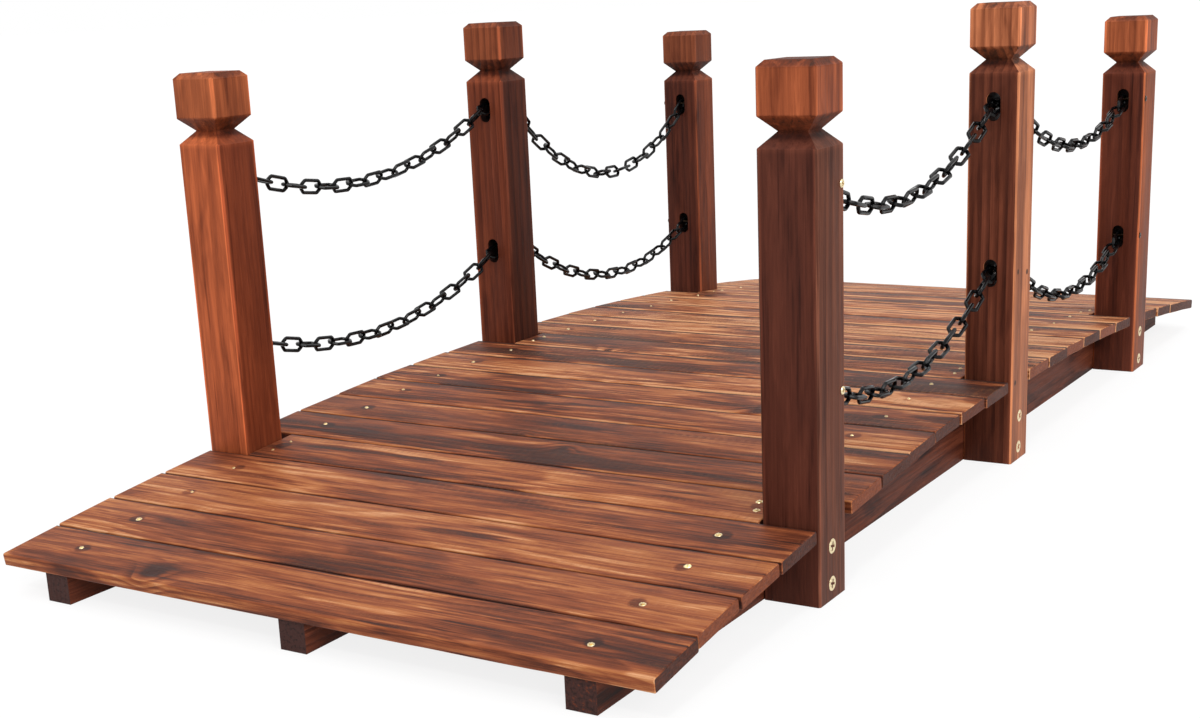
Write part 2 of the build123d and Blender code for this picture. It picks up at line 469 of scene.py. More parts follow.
def post_wood(name, settings, box, grain, seed, tones, turned, dents):
    """Material of one post. Its grain stands upright and follows the post's own middle. tones are the
    middle tones of the head, of the faces across the walkway and of those along it, partly the wood's own
    and partly painted light and shade of each face. dents are small dents in the outer face, drawn as
    dark spots of painted shade, given as their places along the walkway and above the ground."""
    low, high = box
    material, tree = new_material(name)
    x, y, z = tree.split(tree.wire("ShaderNodeTexCoord", None, None, 3))
    side = x - (low[0] + high[0]) / 2
    out = y - (low[1] + high[1]) / 2
    offset = (seed * 3.7, seed * 1.9, seed * 2.3)
    across, deep = (side, out) if turned else (out, side)
    look = wood_shade(tree, across, z, deep, offset, grain)
    shade = look["shade"]

    groove = high[2] - GROOVE_DROP
    # Lighter along the arrises: partly worn edges, partly a painted highlight
    corner = (abs(side) + abs(out)).step(2 * POST_HALF - 4.5 * MM, 2 * POST_HALF - 1.5 * MM)
    shade = shade + corner * look["streak"].step(0.38, 0.56) * 0.36
    # Painted shade in the groove under the head, and a painted highlight on the slope below the groove
    groove_painted_shade = z.step(groove + 14 * MM, groove + 9 * MM) * z.step(groove - 8 * MM, groove - 3 * MM)
    shoulder_painted_highlight = z.step(groove - 17 * MM, groove - 12 * MM) * z.step(groove - 3 * MM, groove - 8 * MM)
    shade = shade - groove_painted_shade * 0.26 + shoulder_painted_highlight * 0.12
    soot = z.step(high[2] - 7 * MM, high[2] - 3 * MM) * look["patch"].step(0.6, 0.4)
    shade = shade - soot * 0.25

    # Small dents in the outer face, drawn as dark spots of painted shade
    for dent_side, dent_z in dents:
        dent_shade = distance(side - dent_side, z - dent_z) + (look["fibre"] - 0.5) * 3 * MM
        shade = shade - dent_shade.step(*DENT_SHADE) * abs(out).step(POST_HALF - 1 * MM, POST_HALF - 0.5 * MM) * 0.7

    normal = tree.split(tree.wire("ShaderNodeNewGeometry", None, None, 1))
    # Each face takes its own tone: partly the wood's own, partly painted light and shade on that side of the
    # post
    palest = [tuple(part * PALEST for part in colour) for colour in tones]
    colour = tree.blend(abs(normal[1]).step(0.35, 0.6), palest[1], palest[2])
    colour = tree.blend(z.step(groove - 4 * MM, groove + 6 * MM), colour, palest[0])
    colour = face_colour(tree, shade, colour)

    rings = distance(side + 9 * MM, out - 4 * MM) + (look["patch"] - 0.5) * 3 * MM
    rings = (rings / (3.2 * MM)).math("FRACT")
    top_colour = tree.blend(rings.step(0.3, 0.9) * 0.6 + 0.2, tones[1], settings.charred[:])
    colour = tree.blend(normal[2].step(0.8, 0.95) * 0.8, colour, top_colour)

    # Painted shade: the inside of the slots is painted near black
    slot_shade = abs(side).step(*SLOT_SIDE) * abs(out).step(*SLOT_OUT)
    slot_shade = slot_shade * z.step(high[2] - SLOT_DROP[0], high[2] - SLOT_DROP[1])
    look["colour"] = tree.blend(slot_shade * 0.95, colour, settings.charred[:])
    wood_shader(tree, look, 0.35 * MM, POST_SHINE)
    return material


STRINGER_GRAIN = {
    "heart_side": -0.02,
    "heart_depth": 0.05,
    "swing": 0.03,
    "waver": 0.006,
    "ring_width": 0.005,
    "ring_contrast": 0.3,
    "patch": 0.9,
    "band": 0.1,
    "streak": 0.8,
    "fibre": 0.6,
    "char": 0.2,
    "spindle": 0.15,
    "bright": 0.1,
    "fleck": 0.1,
    "knot_cell": 0.3,
    "knot_share": 0.5,
    "knot_reach": 0.02,
    "knot_size": 0.006,
}


def stringer_wood(settings):
    """Material of the stringers, with the grain along them and dark end grain."""
    material, tree = new_material("stringer_wood")
    place = tree.wire("ShaderNodeTexCoord", None, None, 3)
    x, y, z = tree.split(place)
    look = wood_shade(tree, z, x, y, (4.1, 8.3, 1.2), STRINGER_GRAIN)
    palest = tuple(part * PALEST for part in settings.stringer)
    colour = face_colour(tree, look["shade"], palest)
    end_face = abs(tree.split(tree.wire("ShaderNodeNewGeometry", None, None, 1))[0]).step(0.7, 0.9)
    chips = tree.noise(tree.stretch(place, (260, 260, 340)), 3.0, 0.65)
    chipped = chips.step(0.56, 0.66) * y.step(-0.2, -0.25)
    end_colour = tree.blend(chipped, settings.stringer_end[:], settings.stringer[:])
    end_colour = tree.blend(chips.step(0.5, 0.36) * 0.6, end_colour, settings.charred[:])
    look["colour"] = tree.blend(end_face, colour, end_colour)
    wood_shader(tree, look, 0.5 * MM, POST_SHINE)
    return material


# Metal


def chain_paint(settings):
    """Glossy black paint with faint scuffs."""
    material, tree = new_material("chain_paint")
    place = tree.wire("ShaderNodeTexCoord", None, None, 3)
    scuff = tree.noise(tree.stretch(place, (240, 240, 240)), 3.0, 0.6)
    fine = tree.noise(tree.stretch(place, (1400, 1400, 1400)), 2.0)
    bump = {"Strength": 1.0, "Distance": 0.12 * MM, "Height": scuff + fine * 0.3}
    values = {
        "Base Color": tree.blend(scuff.step(0.55, 0.75) * 0.5, settings.colour[:], tone(28, 26, 26)),
        "Roughness": 0.17 + (scuff - 0.5) * 0.3,
        "Specular IOR Level": 0.2,
        "Normal": tree.wire("ShaderNodeBump", None, bump),
    }
    finish_material(tree, tree.node("ShaderNodeBsdfPrincipled", None, values))
    return material


def screw_plating(settings):
    """Yellow zinc plating, a little dulled, with painted shade on the pins inside the slots, and browned on
    the far pins.
    """
    material, tree = new_material("screw_plating")
    place = tree.wire("ShaderNodeTexCoord", None, None, 3)
    dulled = tree.noise(tree.stretch(place, (500, 500, 500)), 3.0, 0.6)
    x, y, z = tree.split(place)
    # Painted shade on the pins where they lie inside the slots
    slot_shade = abs(y).step(321 * MM, 320 * MM)
    far_post = x.step(300 * MM, 310 * MM)
    browned_and_slot_shade = (slot_shade + far_post) * z.step(120 * MM, 130 * MM)
    bump = {"Strength": 1.0, "Distance": 0.08 * MM, "Height": dulled}
    colour = tree.blend(dulled.step(0.52, 0.66) * 0.6, settings.colour[:], tone(150, 104, 56))
    values = {
        "Base Color": tree.blend(browned_and_slot_shade, colour, tone(46, 36, 28)),
        "Metallic": 1.0,
        "Roughness": 0.3 + (dulled - 0.5) * 0.3,
        "Normal": tree.wire("ShaderNodeBump", None, bump),
    }
    finish_material(tree, tree.node("ShaderNodeBsdfPrincipled", None, values))
    return material


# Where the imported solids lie


def linked(name, data):
    """An object in the scene for a mesh, a lamp or a camera."""
    made = bpy.data.objects.new(name, data)
    bpy.context.collection.objects.link(made)
    return made


def solid_places(node_name):
    """Of each separate solid of a CAD node: its middle, its axes from the longest to the shortest as the
    columns of a matrix, and its sizes along them."""
    shape = bmesh.new()
    shape.from_mesh(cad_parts[node_name].data)
    bmesh.ops.remove_doubles(shape, verts=shape.verts, dist=WELD)
    places = []
    seen = set()
    for first in shape.verts:
        if first in seen:
            continue
        seen.add(first)
        island = [first]
        for vert in island:
            for edge in vert.link_edges:
                other = edge.other_vert(vert)
                if other not in seen:
                    seen.add(other)
                    island.append(other)
        points = np.array([vert.co[:] for vert in island])
        spread = points - points.mean(axis=0)
        axes = np.linalg.eigh(spread.T @ spread)[1][:, ::-1]
        along = points @ axes
        middle = axes @ ((along.min(axis=0) + along.max(axis=0)) / 2)
        places.append((Vector(middle), axes, np.ptp(along, axis=0)))
    shape.free()
    return places


def board_turn(axes):
    """Turns a board's frame from across, along and up to where the board lies."""
    up = Vector(axes[:, 2]) * (1 if axes[2, 2] > 0 else -1)
    along = Vector((0, 1, 0))
    across = along.cross(up)
    return Matrix((across, along, up)).transposed().to_euler()


def places_object(name, middles, turns, **numbers):
    """A mesh of loose points that a geometry tree sets pieces on."""
    mesh = bpy.data.meshes.new(name)
    mesh.from_pydata(middles, [], [])
    turn = mesh.attributes.new("turn", "FLOAT_VECTOR", "POINT")
    turn.data.foreach_set("vector", [part for one in turns for part in one])
    for key, values in numbers.items():
        mesh.attributes.new(key, "FLOAT", "POINT").data.foreach_set("value", values)
    return linked(name, mesh)


# Geometry trees


def geometry_tree(name, sizes):
    """An empty tree with a geometry input, the named sizes, a finish and a geometry output."""
    nodes = bpy.data.node_groups.new(name, "GeometryNodeTree")
    nodes.interface.new_socket("Places", in_out="INPUT", socket_type="NodeSocketGeometry")
    for size in sizes:
        nodes.interface.new_socket(size, in_out="INPUT", socket_type="NodeSocketFloat")
    nodes.interface.new_socket("Finish", in_out="INPUT", socket_type="NodeSocketMaterial")
    nodes.interface.new_socket("Pieces", in_out="OUTPUT", socket_type="NodeSocketGeometry")
    tree = Tree(nodes)
    entry = tree.node("NodeGroupInput")
    inputs = {socket.name: Wire(tree, socket) for socket in entry.outputs if socket.name}
    return tree, inputs


def carried(tree, name, kind="FLOAT_VECTOR"):
    """The value that each point carries under a name."""
    return tree.wire("GeometryNodeInputNamedAttribute", {"data_type": kind}, {"Name": name})


def keep_grain_place(tree, pieces, place):
    """Stores where each point lies in its piece's grain, for the material."""
    settings = {"data_type": "FLOAT_VECTOR", "domain": "POINT"}
    values = {"Geometry": pieces, "Name": "grain_place", "Value": place}
    return tree.wire("GeometryNodeStoreNamedAttribute", settings, values)


def raised(tree, piece, height):
    values = {"Geometry": piece, "Translation": tree.vector(0, 0, height)}
    return tree.wire("GeometryNodeTransform", None, values)


def set_on_places(tree, inputs, piece, scale=(1, 1, 1)):
    """Sets a piece on every place, turned as the place says, and makes them one mesh."""
    rotation = tree.wire("FunctionNodeEulerToRotation", None, {0: carried(tree, "turn")})
    values = {"Points": inputs["Places"], "Instance": piece, "Rotation": rotation, "Scale": scale}
    pieces = tree.wire("GeometryNodeInstanceOnPoints", None, values)
    return tree.wire("GeometryNodeRealizeInstances", None, {"Geometry": pieces})


def end_tree(tree, inputs, pieces):
    painted = {"Geometry": pieces, "Material": inputs["Finish"]}
    tree.node("NodeGroupOutput", None, {0: tree.wire("GeometryNodeSetMaterial", None, painted)})
    return tree.nodes


# How many rings of points a board has, and the share of its length between the last two, where its ends
# are eased
STATIONS = 77
END_SHARE = 0.0012
# Waves in a metre of the wandering edges
EDGE_WAVES = (34, 21, 34)


def board_tree():
    """Boards of one section along the arch: eased, with edges that wander a little."""
    sizes = ("Board Width", "Board Thickness", "Edge Round", "End Ease", "Edge Wear")
    tree, inputs = geometry_tree("board_tree", sizes)
    values = {"Width": inputs["Board Width"], "Height": inputs["Board Thickness"]}
    section = tree.wire("GeometryNodeCurvePrimitiveQuadrilateral", None, values)
    values = {"Curve": section, "Count": 3, "Radius": inputs["Edge Round"], "Limit Radius": True}
    section = tree.wire("GeometryNodeFilletCurve", {"mode": "POLY"}, values)
    values = {"Start": (0, -0.5, 0), "End": (0, 0.5, 0)}
    line = tree.wire("GeometryNodeCurvePrimitiveLine", None, values)
    values = {"Curve": line, "Count": STATIONS}
    line = tree.wire("GeometryNodeResampleCurve", {"mode": "COUNT"}, values)
    values = {"Curve": line, "Profile Curve": section, "Fill Caps": True}
    board = tree.wire("GeometryNodeCurveToMesh", None, values)

    x, y, z = tree.split(tree.wire("GeometryNodeInputPosition"))
    spacing = 1 / (STATIONS - 1)
    at_end = abs(y).math("GREATER_THAN", 0.5 - spacing * 0.5)
    next_to_end = abs(y).math("GREATER_THAN", 0.5 - spacing * 1.5) - at_end
    ease = inputs["End Ease"] * at_end
    eased = tree.vector(
        x - x.math("SIGN") * ease,
        y + y.math("SIGN") * next_to_end * (spacing - END_SHARE),
        z - z.math("SIGN") * ease,
    )
    board = tree.wire("GeometryNodeSetPosition", None, {"Geometry": board, "Position": eased})
    board = keep_grain_place(tree, board, tree.wire("GeometryNodeInputPosition"))

    size = tree.vector(1, carried(tree, "board_length", "FLOAT"), 1)
    boards = set_on_places(tree, inputs, board, size)
    boards = keep_grain_place(tree, boards, tree.stretch(carried(tree, "grain_place"), size))
    number = carried(tree, "board_number", "FLOAT")
    start = tree.vector(number * 3.7, number * 1.3, number * 2.1)
    place = tree.shift(carried(tree, "grain_place"), start)
    wander = tree.noise(tree.stretch(place, EDGE_WAVES), 3.0, 0.6, 0.0, 1)
    wander_x, _, wander_z = tree.split(wander)
    wear = inputs["Edge Wear"]
    offset = tree.vector((wander_x - 0.5) * wear * 2, 0, (wander_z - 0.5) * wear)
    boards = tree.wire("GeometryNodeSetPosition", None, {"Geometry": boards, "Offset": offset})
    return end_tree(tree, inputs, boards)


def link_tree():
    """Links of stout wire, each an eight-sided loop in its own plane."""
    tree, inputs = geometry_tree("link_tree", ("Link Pitch", "Link Width", "Link Corner", "Wire", "Play"))
    wire = inputs["Wire"]
    length = inputs["Link Pitch"] + wire + inputs["Play"]
    values = {"Width": length, "Height": inputs["Link Width"] - wire}
    loop = tree.wire("GeometryNodeCurvePrimitiveQuadrilateral", None, values)
    values = {"Curve": loop, "Count": 1, "Radius": inputs["Link Corner"] - wire * 0.3}
    loop = tree.wire("GeometryNodeFilletCurve", {"mode": "POLY"}, values)
    values = {"Curve": loop, "Count": 3, "Radius": wire * 0.7, "Limit Radius": True}
    loop = tree.wire("GeometryNodeFilletCurve", {"mode": "POLY"}, values)
    values = {"Resolution": 8, "Radius": wire * 0.5}
    ring = tree.wire("GeometryNodeCurvePrimitiveCircle", {"mode": "RADIUS"}, values)
    link = tree.wire("GeometryNodeCurveToMesh", None, {"Curve": loop, "Profile Curve": ring})
    return end_tree(tree, inputs, set_on_places(tree, inputs, link))


def screw_tree():
    """Flat-headed screws with a cross recess, the head's rim on the surface that they stand on."""
    sizes = ("Head Diameter", "Head Thickness", "Stand", "Shank Diameter", "Shank Length")
    tree, inputs = geometry_tree("screw_tree", sizes)
    head = inputs["Head Diameter"]
    thick = inputs["Head Thickness"]
    stand = inputs["Stand"]
    discs = []
    for top, bottom, drop in ((0.5, 0.42, 1.0), (0.43, 0.5, 0.5)):
        values = {"Radius Top": head * top, "Radius Bottom": head * bottom}
        values = {"Vertices": 24, **values, "Depth": thick * 0.5}
        disc = tree.wire("GeometryNodeMeshCone", None, values)
        discs.append(raised(tree, disc, stand - thick * drop))
    recess = []
    for size_x, size_y in ((0.56, 0.15), (0.15, 0.56)):
        values = {"Size": tree.vector(head * size_x, head * size_y, thick)}
        recess.append(raised(tree, tree.wire("GeometryNodeMeshCube", None, values), stand))
    body = tree.wire("GeometryNodeMeshBoolean", {"operation": "UNION"}, {"Mesh": discs})
    values = {"Mesh 1": body, "Mesh 2": recess}
    body = tree.wire("GeometryNodeMeshBoolean", {"operation": "DIFFERENCE"}, values)
    values = {"Vertices": 12, "Radius": inputs["Shank Diameter"] * 0.5, "Depth": inputs["Shank Length"]}
    shank = tree.wire("GeometryNodeMeshCylinder", None, values)
    shank = raised(tree, shank, (inputs["Shank Length"] * -0.5) + (stand - thick * 0.9))
    screw = tree.wire("GeometryNodeJoinGeometry", None, {"Geometry": [body, shank]})
    size = carried(tree, "screw_size", "FLOAT")
    return end_tree(tree, inputs, set_on_places(tree, inputs, screw, tree.vector(size, size, 1)))


def run_tree(name, tree, places, **values):
    """Runs a tree on its places and keeps the result as a plain mesh."""
    modifier = places.modifiers.new(tree.name, "NODES")
    modifier.node_group = tree
    for item in tree.interface.items_tree:
        key = item.name.lower().replace(" ", "_")
        if item.in_out == "INPUT" and key in values:
            modifier[item.identifier] = values.pop(key)
    if values:
        raise RuntimeError(f"{tree.name} has no inputs {sorted(values)}")
    shown = bpy.context.evaluated_depsgraph_get()
    mesh = bpy.data.meshes.new_from_object(
        places.evaluated_get(shown), preserve_all_data_layers=True, depsgraph=shown
    )
    if not mesh.polygons:
        raise RuntimeError(f"{tree.name} made nothing for {name}")
    bpy.data.objects.remove(places)
    return shown_piece(name, mesh)


def shown_piece(name, mesh, smooth_angle=math.radians(32)):
    """A finished mesh as a piece, smooth but for its sharp edges."""
    mesh.name = name
    mesh.shade_smooth()
    mesh.set_sharp_from_angle(angle=smooth_angle)
    return linked(name, mesh)


def softened_copy(name, node_name, width, material):
    """A CAD node's shape with its arrises rounded."""
    shape = bmesh.new()
    shape.from_mesh(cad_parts[node_name].data)
    bmesh.ops.remove_doubles(shape, verts=shape.verts, dist=WELD)
    bmesh.ops.dissolve_limit(shape, angle_limit=math.radians(1), verts=shape.verts, edges=shape.edges)
    mesh = bpy.data.meshes.new(name)
    shape.to_mesh(mesh)
    shape.free()
    mesh.materials.clear()
    mesh.materials.append(material)
    mesh.shade_smooth()
    made = linked(name, mesh)
    bevel = made.modifiers.new("arrises", "BEVEL")
    bevel.width = width
    bevel.segments = 3
    bevel.limit_method = "ANGLE"
    bevel.angle_limit = math.radians(28)
    bevel.harden_normals = True
    return made


# Pieces


BOARDS = [f"deck_board_{number:02d}" for number in range(1, 24)]
SIDES = (("left", 1), ("right", -1))
SHORT_BOARDS = (5, 12, 19)
DECK_SEED = 11
SCREW_SEED = 5
# How far a board may rock, and how much narrower it is made for that
BOARD_ROCK = math.radians(0.5)
BOARD_PLAY = 0.5 * MM
# Across a short board, where its two screws at each end stand
SHORT_BOARD_SCREWS = (-11 * MM, 12 * MM)
FOOT_SCREW_HEIGHTS = (45.5 * MM, 13 * MM)
# How far across from the middle the outer faces of the posts lie, where the pins are driven in
PIN_FACE = 0.325
QUARTER_TURN = 1.57
# Of the screws of the deck, of the posts and of the chains: how thick the head is and how far it stands
# out, and the diameter and length of the shank
SCREW_KINDS = {
    "deck": (1.6 * MM, 0.35 * MM, 3 * MM, 26 * MM),
    "post": (1.6 * MM, 0.3 * MM, 4 * MM, 60 * MM),
    "pin": (1.4 * MM, 1.1 * MM, 3 * MM, 37 * MM),
}


class BRIDGE_OT_deck(bpy.types.Operator):
    """Lays the 23 deck boards"""

    bl_idname = "bridge.deck"
    bl_label = "Deck Boards"

    def execute(self, context):
        settings = context.scene.bridge_deck
        draw = random.Random(DECK_SEED)
        middles, turns, lengths = [], [], []
        for name in BOARDS:
            middle, axes, size = solid_places(name)[0]
            middles.append(middle + Vector((0, draw.uniform(-1, 1) * settings.end_stagger, 0)))
            rock = Euler((0, draw.uniform(-1, 1) * BOARD_ROCK, 0)).to_matrix()
            turns.append((board_turn(axes).to_matrix() @ rock).to_euler())
            lengths.append(size[0])
        numbers = [float(number) for number in range(1, len(BOARDS) + 1)]
        places = places_object("deck_places", middles, turns, board_length=lengths, board_number=numbers)
        boards = run_tree(
            "deck_boards",
            board_tree(),
            places,
            board_width=size[1] - BOARD_PLAY,
            board_thickness=size[2],
            edge_round=settings.edge_round,
            end_ease=settings.end_ease,
            edge_wear=settings.edge_wear,
            finish=deck_wood(settings),
        )
        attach(boards, "root")
        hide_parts(*BOARDS)
        return {"FINISHED"}


# Of each post: a seed, whether its rings run across the walkway, its grain, and the middle tones of its
# head, of its faces across the walkway and of those along it, each partly the wood's own tone and partly
# painted light and shade of that face
POST_LOOKS = {
    "post_near_left": (
        1.0,
        True,
        {"heart_side": 0.006, "heart_depth": 0.04, "ring_width": 0.011, "ring_contrast": 0.1, "swing": 0.05},
        (tone(146, 76, 44), tone(158, 78, 44), tone(118, 54, 30)),
    ),
    "post_near_right": (
        2.0,
        False,
        {"heart_side": 0.0, "heart_depth": 0.09, "ring_width": 0.012, "ring_contrast": 0.16},
        (tone(152, 78, 46), tone(82, 40, 28), tone(90, 50, 36)),
    ),
    "post_mid_left": (
        3.0,
        False,
        {"heart_side": 0.03, "heart_depth": 0.04, "ring_width": 0.008, "ring_contrast": 0.22},
        (tone(112, 56, 33), tone(104, 48, 28), tone(72, 33, 20)),
    ),
    "post_mid_right": (
        4.0,
        False,
        {"heart_side": 0.05, "heart_depth": 0.012, "ring_width": 0.0085, "ring_contrast": 0.28},
        (tone(172, 101, 66), tone(94, 47, 31), tone(163, 99, 66)),
    ),
    "post_far_left": (
        5.0,
        False,
        {"heart_side": 0.06, "heart_depth": 0.02, "ring_width": 0.008, "ring_contrast": 0.15},
        (tone(112, 58, 36), tone(80, 37, 24), tone(112, 56, 34)),
    ),
    "post_far_right": (
        6.0,
        False,
        {"heart_side": 0.02, "heart_depth": 0.05, "ring_width": 0.008, "ring_contrast": 0.13},
        (tone(152, 80, 48), tone(84, 38, 24), tone(128, 66, 38)),
    ),
}
# Dents in the outer face of a post, drawn as painted shade: where they lie along the walkway and above the
# ground
DENTS = {"post_mid_right": ((-15 * MM, 195 * MM), (13 * MM, 191 * MM), (-16 * MM, 83 * MM))}
POST_GRAIN = {
    "swing": 0.014,
    "waver": 0.006,
    "patch": 0.9,
    "band": 0.08,
    "streak": 0.34,
    "fibre": 0.4,
    "char": 0.14,
    "spindle": 0.12,
    "bright": 0.1,
    "fleck": 0.05,
    "knot_cell": 0.2,
    "knot_share": 0.25,
    "knot_reach": 0.018,
    "knot_size": 0.005,
}


class BRIDGE_OT_posts(bpy.types.Operator):
    """Dresses the six posts"""

    bl_idname = "bridge.posts"
    bl_label = "Posts"

    def execute(self, context):
        settings = context.scene.bridge_posts
        for name, (seed, turned, heart, tones) in POST_LOOKS.items():
            grain = {**POST_GRAIN, **heart}
            dents = DENTS.get(name, ())
            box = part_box(name)
            material = post_wood(f"{name}_wood", settings, box, grain, seed, tones, turned, dents)
            post = softened_copy(f"{name}_timber", name, settings.edge_round, material)
            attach(post, "root")
            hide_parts(name)
        return {"FINISHED"}


class BRIDGE_OT_stringers(bpy.types.Operator):
    """Gives the three stringers their wood"""

    bl_idname = "bridge.stringers"
    bl_label = "Stringers"

    def execute(self, context):
        material = stringer_wood(context.scene.bridge_posts)
        for name in ("stringer_left", "stringer_middle", "stringer_right"):
            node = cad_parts[name]
            for place in node.material_slots:
                place.material = material
        return {"FINISHED"}


class BRIDGE_OT_chains(bpy.types.Operator):
    """Hangs the four chains, link by link"""

    bl_idname = "bridge.chains"
    bl_label = "Chains"

    def execute(self, context):
        settings = context.scene.bridge_chains
        tree = link_tree()
        paint = chain_paint(settings)
        for side, _ in SIDES:
            for level in ("upper", "lower"):
                name = f"chain_{level}_{side}"
                links = solid_places(name)
                middles = [link[0] for link in links]
                turns = [Matrix(link[1] * np.sign(np.linalg.det(link[1]))).to_euler() for link in links]
                pitch = min((middles[0] - other).length for other in middles[1:])
                chain = run_tree(
                    f"{name}_links",
                    tree,
                    places_object(name + "_places", middles, turns),
                    link_pitch=pitch,
                    link_width=links[0][2][1],
                    link_corner=settings.corner,
                    wire=settings.wire,
                    play=settings.play,
                    finish=paint,
                )
                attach(chain, "root")
                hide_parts(name)
        return {"FINISHED"}


def screw_turn(sign, draw):
    """Stands a screw on a face that looks along Y or against it, at any angle round its own axis."""
    stood = Euler((-sign * math.pi / 2, 0, 0)).to_matrix()
    return (stood @ Euler((0, 0, draw.uniform(0, QUARTER_TURN))).to_matrix()).to_euler()


class BRIDGE_OT_screws(bpy.types.Operator):
    """Drives the screws of the boards and posts, and the pins that hold the chains"""

    bl_idname = "bridge.screws"
    bl_label = "Screws"

    def execute(self, context):
        settings = context.scene.bridge_screws
        plating = screw_plating(settings)
        draw = random.Random(SCREW_SEED)
        tree = screw_tree()

        def drive(kind, name, places, turns, scales):
            thickness, stand, shank, length = SCREW_KINDS[kind]
            return run_tree(
                name,
                tree,
                places_object(f"{name}_places", places, turns, screw_size=scales),
                head_diameter=getattr(settings, f"{kind}_head"),
                head_thickness=thickness,
                stand=stand,
                shank_diameter=shank,
                shank_length=length,
                finish=plating,
            )

        screws = drive("deck", "deck_screws", *self.deck_places(draw))
        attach(screws, "root")

        screws = drive("post", "post_screws", *self.post_places(draw))
        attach(screws, "root")

        for side, sign in SIDES:
            for place in ("near", "far"):
                name = f"chain_pins_{place}_{side}"
                pins = drive("pin", f"{name}_screws", *self.pin_places(name, sign, draw))
                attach(pins, "root")
                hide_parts(name)
        return {"FINISHED"}

    def deck_places(self, draw):
        """Where the screws of the boards stand, how they are turned and how wide they show."""
        places, turns, scales = [], [], []
        for number, name in enumerate(BOARDS, 1):
            middle, axes, size = solid_places(name)[0]
            turn = board_turn(axes).to_matrix()
            for _, sign in SIDES:
                for shift in SHORT_BOARD_SCREWS if number in SHORT_BOARDS else (0.0,):
                    across = shift + draw.uniform(-3, 3) * MM
                    along = sign * (SCREW_LINE + draw.uniform(-4, 4) * MM)
                    lean = (draw.uniform(-0.05, 0.05), draw.uniform(-0.05, 0.05))
                    tilt = Euler((*lean, draw.uniform(0, QUARTER_TURN))).to_matrix()
                    places.append(middle + turn @ Vector((across, along, size[2] / 2)))
                    turns.append((turn @ tilt).to_euler())
                    plain = number < 6 and (sign < 0 or number == 2)
                    scales.append(draw.uniform(0.85, 1.1) if plain else draw.uniform(0.4, 0.7))
        return places, turns, scales

    def post_places(self, draw):
        """The same for the two screws at the foot of each post."""
        places, turns = [], []
        for name in POST_LOOKS:
            low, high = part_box(name)
            sign = 1 if low[1] > 0 else -1
            face_y = high[1] if sign > 0 else low[1]
            for height in FOOT_SCREW_HEIGHTS:
                turns.append(screw_turn(sign, draw))
                x = (low[0] + high[0]) / 2 + draw.uniform(-1.5, 1.5) * MM
                places.append(Vector((x, face_y, height + draw.uniform(-1, 1) * MM)))
        return places, turns, [1.0] * len(places)

    def pin_places(self, name, sign, draw):
        """The same for the two pins of an end post."""
        places = [Vector((pin[0].x, sign * PIN_FACE, pin[0].z)) for pin in solid_places(name)]
        return places, [screw_turn(sign, draw) for _ in places], [1.0] * len(places)


# Stage


FLOOR_REACH = 60
FLOOR_DROP = 0.4 * MM
FLOOR_GLOW = 1.05
FLOOR_SHOWN = 0.8
# Of each lamp: its place, the setting that says how strong it is, and its spread in degrees
LAMPS = {
    "key_lamp": ((-2.2, -4.2, 3.2), "key", 38),
    "top_lamp": ((0.6, 0.8, 6.0), "top", 60),
    "glint_lamp": ((-3.0, -0.6, 3.6), "glint", 5),
}


def looked_at(tree):
    """1 where the backdrop is looked at, also in a gloss or through glass, and 0 where it only lights."""
    path = tree.node("ShaderNodeLightPath")
    rays = ("Is Camera Ray", "Is Glossy Ray", "Is Transmission Ray")
    camera, glossy, clear = (Wire(tree, path.outputs[key]) for key in rays)
    return (camera + glossy + clear).math("MINIMUM", 1.0)


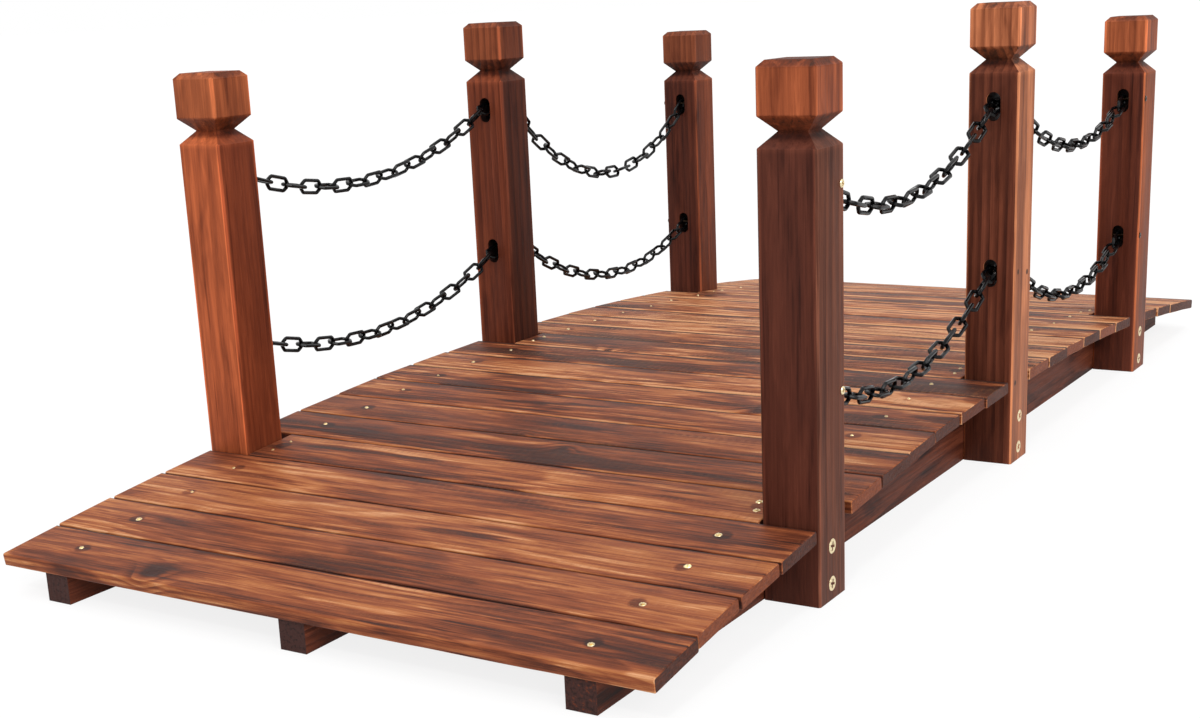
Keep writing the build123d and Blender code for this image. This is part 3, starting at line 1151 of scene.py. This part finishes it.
class BRIDGE_OT_stage(bpy.types.Operator):
    """Sets the floor, the studio light and the camera"""

    bl_idname = "bridge.stage"
    bl_label = "Stage"

    def execute(self, context):
        settings = context.scene.bridge_stage
        scene = context.scene
        scene.view_settings.view_transform = "Standard"
        self.make_floor(settings)
        self.make_sky(scene, settings)
        for name, (place, strength, spread) in LAMPS.items():
            self.make_lamp(name, place, getattr(settings, strength), spread)
        self.make_camera(scene)
        return {"FINISHED"}

    def make_floor(self, settings):
        material, tree = new_material("studio_floor")
        lit = tree.wire("ShaderNodeBsdfDiffuse", None, {"Color": settings.floor[:]})
        glow = tree.wire("ShaderNodeEmission", None, {"Color": (1, 1, 1), "Strength": FLOOR_GLOW})
        shown = looked_at(tree) * FLOOR_SHOWN
        both = tree.node("ShaderNodeMixShader", None, {0: shown, 1: lit, 2: glow})
        finish_material(tree, both)
        mesh = bpy.data.meshes.new("studio_floor")
        corners = ((-1, -1), (1, -1), (1, 1), (-1, 1))
        corners = [(x * FLOOR_REACH, y * FLOOR_REACH, 0) for x, y in corners]
        mesh.from_pydata(corners, [], [(0, 1, 2, 3)])
        mesh.materials.append(material)
        floor = linked("studio_floor", mesh)
        floor.location.z = -FLOOR_DROP

    def make_sky(self, scene, settings):
        sky = bpy.data.worlds.new("studio_sky")
        sky.use_nodes = True
        sky.node_tree.nodes.clear()
        scene.world = sky
        tree = Tree(sky.node_tree)
        strength = settings.sky + looked_at(tree) * (1 - settings.sky)
        light = tree.wire("ShaderNodeBackground", None, {"Color": (1, 1, 1), "Strength": strength})
        tree.node("ShaderNodeOutputWorld", None, {"Surface": light})

    def make_lamp(self, name, place, strength, spread):
        lamp = bpy.data.lights.new(name, "SUN")
        lamp.energy = strength
        lamp.angle = math.radians(spread)
        made = linked(name, lamp)
        made.location = place
        made.rotation_euler = Vector(place).to_track_quat("Z", "Y").to_euler()

    def make_camera(self, scene):
        lens = bpy.data.cameras.new("view_camera")
        lens.sensor_width = SENSOR_WIDTH
        lens.sensor_fit = "HORIZONTAL"
        lens.lens = FOCAL_PIXELS / IMAGE_WIDTH * SENSOR_WIDTH
        lens.shift_x = SHIFT_PIXELS[0] / IMAGE_WIDTH
        lens.shift_y = SHIFT_PIXELS[1] / IMAGE_WIDTH
        lens.clip_start = 0.05
        lens.clip_end = 200
        yaw, pitch, roll = (math.radians(angle) for angle in CAMERA_ANGLES)
        level = math.cos(pitch)
        ahead = Vector((math.cos(yaw) * level, math.sin(yaw) * level, math.sin(pitch)))
        right = Vector((math.sin(yaw), -math.cos(yaw), 0))
        up = right.cross(ahead)
        right, up = (
            right * math.cos(roll) + up * math.sin(roll),
            up * math.cos(roll) - right * math.sin(roll),
        )
        turn = Matrix((right, up, -ahead)).transposed().to_4x4()
        scene.camera = linked("view_camera", lens)
        scene.camera.matrix_world = Matrix.Translation(CAMERA_PLACE) @ turn


OPERATORS = (
    BRIDGE_OT_deck,
    BRIDGE_OT_posts,
    BRIDGE_OT_stringers,
    BRIDGE_OT_chains,
    BRIDGE_OT_screws,
    BRIDGE_OT_stage,
)
SETTINGS = (
    ("bridge_deck", DeckSettings),
    ("bridge_posts", PostSettings),
    ("bridge_chains", ChainSettings),
    ("bridge_screws", ScrewSettings),
    ("bridge_stage", StageSettings),
)


class BRIDGE_PT_pieces(bpy.types.Panel):
    """Lists the pieces of the bridge and their settings"""

    bl_idname = "BRIDGE_PT_pieces"
    bl_label = "Garden Bridge"
    bl_space_type = "VIEW_3D"
    bl_region_type = "UI"
    bl_category = "Bridge"

    def draw(self, context):
        for operator in OPERATORS:
            self.layout.operator(operator.bl_idname)
        for key, group in SETTINGS:
            box = self.layout.box()
            for name in group.__annotations__:
                box.prop(getattr(context.scene, key), name)


def register():
    for key, group in SETTINGS:
        bpy.utils.register_class(group)
        setattr(bpy.types.Scene, key, bpy.props.PointerProperty(type=group))
    for one in (*OPERATORS, BRIDGE_PT_pieces):
        bpy.utils.register_class(one)


def unregister():
    for one in (BRIDGE_PT_pieces, *reversed(OPERATORS)):
        bpy.utils.unregister_class(one)
    for key, group in reversed(SETTINGS):
        delattr(bpy.types.Scene, key)
        bpy.utils.unregister_class(group)


def main():
    register()
    bpy.ops.bridge.deck()
    bpy.ops.bridge.posts()
    bpy.ops.bridge.stringers()
    bpy.ops.bridge.chains()
    bpy.ops.bridge.screws()
    bpy.ops.bridge.stage()


if __name__ == "__main__":
    main()
